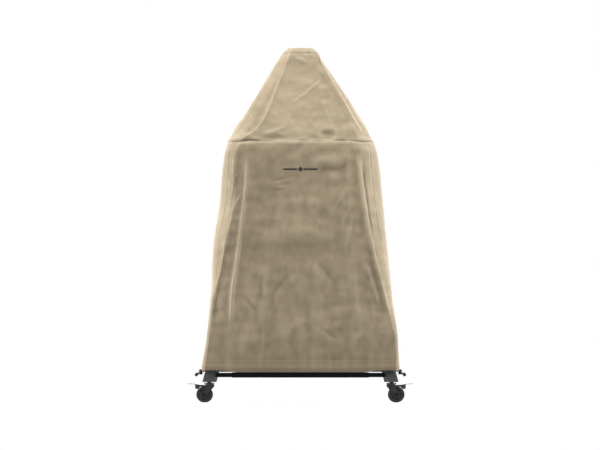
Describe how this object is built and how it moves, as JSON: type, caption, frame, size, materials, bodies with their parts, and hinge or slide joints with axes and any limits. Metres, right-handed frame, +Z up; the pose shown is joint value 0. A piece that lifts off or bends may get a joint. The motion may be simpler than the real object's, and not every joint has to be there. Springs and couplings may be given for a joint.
{
  "type": "grill cover",
  "caption": "Fitted fabric cover with a peaked hood and a drawcord hem, standing over an oven on a splayed-leg stand with braked swivel casters.",
  "frame": {"origin": "on the floor under the middle of the stand", "axes": "+Z up; the printed front faces -Y; +X to the right as seen from the front"},
  "size_m": [1.058, 0.712, 1.666],
  "materials": {
    "canvas": "coated woven polyester canvas, khaki tan, soft sheen",
    "print_ink": "flat black screen print",
    "cord": "black braided elastic cord",
    "lock_plastic": "moulded black nylon",
    "spring_steel": "bright wire",
    "leg_paint": "satin graphite powder coat",
    "frame_paint": "satin black powder coat",
    "bolt_steel": "blackened steel",
    "oven_paint": "matt heat-proof paint",
    "stone": "dry fired clay, matt",
    "flue_steel": "satin stainless tube",
    "caster_black": "black glass-filled nylon",
    "hub_plastic": "moulded dark grey nylon",
    "tyre": "dark grey soft rubber tread",
    "pedal_steel": "bright zinc-plated steel"
  },
  "bodies": {
    "stand": {"leg_front_left": "leg_paint", "leg_front_right": "leg_paint", "leg_back_left": "leg_paint", "leg_back_right": "leg_paint", "foot_plates": "leg_paint", "lower_rail_front": "frame_paint", "lower_rail_back": "frame_paint", "lower_rail_left": "frame_paint", "lower_rail_right": "frame_paint", "lower_shelf": "frame_paint", "shelf_bolts": "bolt_steel", "deck": "frame_paint", "oven_base": "oven_paint", "stone_floor": "stone", "oven_shell": "oven_paint", "flue_pipe": "flue_steel", "flue_cowl": "oven_paint"},
    "cover": {"cap_top": "canvas", "cap_band": "canvas", "hood_front": "canvas", "hood_back": "canvas", "hood_left": "canvas", "hood_right": "canvas", "skirt_front": "canvas", "skirt_back": "canvas", "skirt_left": "canvas", "skirt_right": "canvas", "hem_band": "canvas", "front_mark": "print_ink", "drawcord_loop": "cord", "drawcord_tail_left": "cord", "cord_end_left": "lock_plastic", "lock_barrel_left": "lock_plastic", "lock_spring_left": "spring_steel", "drawcord_tail_right": "cord", "cord_end_right": "lock_plastic", "lock_barrel_right": "lock_plastic", "lock_spring_right": "spring_steel"},
    "lock_button_left": {"lock_plunger_left": "lock_plastic"},
    "lock_button_right": {"lock_plunger_right": "lock_plastic"},
    "swivel_front_left": {"caster_fork_front_left": "caster_black", "caster_axle_front_left": "bolt_steel"},
    "wheel_front_left": {"wheel_hub_front_left": "hub_plastic", "tyre_front_left": "tyre"},
    "brake_front_left": {"brake_pedal_front_left": "pedal_steel"},
    "swivel_front_right": {"caster_fork_front_right": "caster_black", "caster_axle_front_right": "bolt_steel"},
    "wheel_front_right": {"wheel_hub_front_right": "hub_plastic", "tyre_front_right": "tyre"},
    "brake_front_right": {"brake_pedal_front_right": "pedal_steel"},
    "swivel_back_left": {"caster_fork_back_left": "caster_black", "caster_axle_back_left": "bolt_steel"},
    "wheel_back_left": {"wheel_hub_back_left": "hub_plastic", "tyre_back_left": "tyre"},
    "brake_back_left": {"brake_pedal_back_left": "pedal_steel"},
    "swivel_back_right": {"caster_fork_back_right": "caster_black", "caster_axle_back_right": "bolt_steel"},
    "wheel_back_right": {"wheel_hub_back_right": "hub_plastic", "tyre_back_right": "tyre"},
    "brake_back_right": {"brake_pedal_back_right": "pedal_steel"}
  },
  "joints": [
    {"name": "cover_lift", "type": "slide", "parent": "stand", "child": "cover", "axis": [0, 0, 1], "range_m": [0, 1.56]},
    {"name": "lock_press_left", "type": "slide", "parent": "cover", "child": "lock_button_left", "axis": [0, 0, -1], "range_m": [0, 0.0025], "stiffness_N_per_m": 1000, "deforming": ["lock_spring_left"]},
    {"name": "lock_press_right", "type": "slide", "parent": "cover", "child": "lock_button_right", "axis": [0, 0, -1], "range_m": [0, 0.0025], "stiffness_N_per_m": 1000, "deforming": ["lock_spring_right"]},
    {"name": "swivel_turn_front_left", "type": "hinge", "parent": "stand", "child": "swivel_front_left", "pos_m": [-0.428, -0.305, 0.09], "axis": [0, 0, 1], "continuous": true},
    {"name": "wheel_spin_front_left", "type": "hinge", "parent": "swivel_front_left", "child": "wheel_front_left", "pos_m": [-0.45, -0.305, 0.0375], "axis": [0, 1, 0], "continuous": true},
    {"name": "brake_press_front_left", "type": "hinge", "parent": "swivel_front_left", "child": "brake_front_left", "pos_m": [-0.466, -0.305, 0.078], "axis": [0, -1, 0], "range_deg": [0, 9]},
    {"name": "swivel_turn_front_right", "type": "hinge", "parent": "stand", "child": "swivel_front_right", "pos_m": [0.428, -0.305, 0.09], "axis": [0, 0, 1], "continuous": true},
    {"name": "wheel_spin_front_right", "type": "hinge", "parent": "swivel_front_right", "child": "wheel_front_right", "pos_m": [0.45, -0.305, 0.0375], "axis": [0, 1, 0], "continuous": true},
    {"name": "brake_press_front_right", "type": "hinge", "parent": "swivel_front_right", "child": "brake_front_right", "pos_m": [0.466, -0.305, 0.078], "axis": [0, 1, 0], "range_deg": [0, 9]},
    {"name": "swivel_turn_back_left", "type": "hinge", "parent": "stand", "child": "swivel_back_left", "pos_m": [-0.428, 0.305, 0.09], "axis": [0, 0, 1], "continuous": true},
    {"name": "wheel_spin_back_left", "type": "hinge", "parent": "swivel_back_left", "child": "wheel_back_left", "pos_m": [-0.45, 0.305, 0.0375], "axis": [0, 1, 0], "continuous": true},
    {"name": "brake_press_back_left", "type": "hinge", "parent": "swivel_back_left", "child": "brake_back_left", "pos_m": [-0.466, 0.305, 0.078], "axis": [0, -1, 0], "range_deg": [0, 9]},
    {"name": "swivel_turn_back_right", "type": "hinge", "parent": "stand", "child": "swivel_back_right", "pos_m": [0.428, 0.305, 0.09], "axis": [0, 0, 1], "continuous": true},
    {"name": "wheel_spin_back_right", "type": "hinge", "parent": "swivel_back_right", "child": "wheel_back_right", "pos_m": [0.45, 0.305, 0.0375], "axis": [0, 1, 0], "continuous": true},
    {"name": "brake_press_back_right", "type": "hinge", "parent": "swivel_back_right", "child": "brake_back_right", "pos_m": [0.466, 0.305, 0.078], "axis": [0, 1, 0], "range_deg": [0, 9]}
  ]
}
